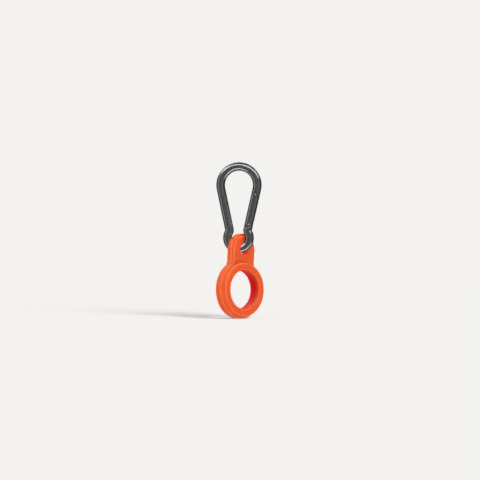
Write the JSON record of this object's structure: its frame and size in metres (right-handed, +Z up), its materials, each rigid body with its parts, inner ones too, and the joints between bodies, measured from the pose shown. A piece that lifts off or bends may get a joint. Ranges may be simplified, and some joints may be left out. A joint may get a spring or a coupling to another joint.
{
  "type": "bottle neck holder",
  "caption": "Moulded silicone ring with a tab that grips a bottle's neck, hung on a pear-shaped steel snap hook with a sprung gate.",
  "frame": {"origin": "the hang point, at the middle of the wire's inner face at the top of the snap hook's bow", "axes": "+Z up along the hook and against the hanging load, +X towards the gate's side in the hook's plane, -Y the front"},
  "size_m": [0.0307, 0.034, 0.1026],
  "materials": {
    "gunmetal_steel": "polished gunmetal plating on bent steel bar",
    "rivet_steel": "gunmetal plated rivet heads",
    "spring_steel": "bare spring steel",
    "orange_silicone": "matt moulded silicone, orange"
  },
  "bodies": {
    "hook": {"hook_body": "gunmetal_steel", "hinge_rivet": "rivet_steel"},
    "gate": {"gate": "gunmetal_steel", "latch_pin": "rivet_steel", "gate_spring": "spring_steel"},
    "plunger": {"spring_plunger": "spring_steel"},
    "holder": {"silicone_holder": "orange_silicone"}
  },
  "joints": [
    {"name": "gate_hinge", "type": "hinge", "parent": "hook", "child": "gate", "pos_m": [0.0075, 0, -0.0361], "axis": [0, -1, 0], "range_deg": [0, 24], "stiffness_Nm_per_rad": 0.02, "springref_deg": -28.65},
    {"name": "plunger_slide", "type": "slide", "parent": "gate", "child": "plunger", "axis": [0.2156, 0, 0.9765], "range_m": [0, 0.00055], "deforming": ["gate_spring"]},
    {"name": "holder_swing", "type": "hinge", "parent": "hook", "child": "holder", "pos_m": [0, 0, -0.0441], "axis": [0, -1, 0], "range_deg": [-75, 70]}
  ],
  "couplings": [
    {"joint": "plunger_slide", "follows": "gate_hinge", "m_per_rad": 0.001187}
  ]
}
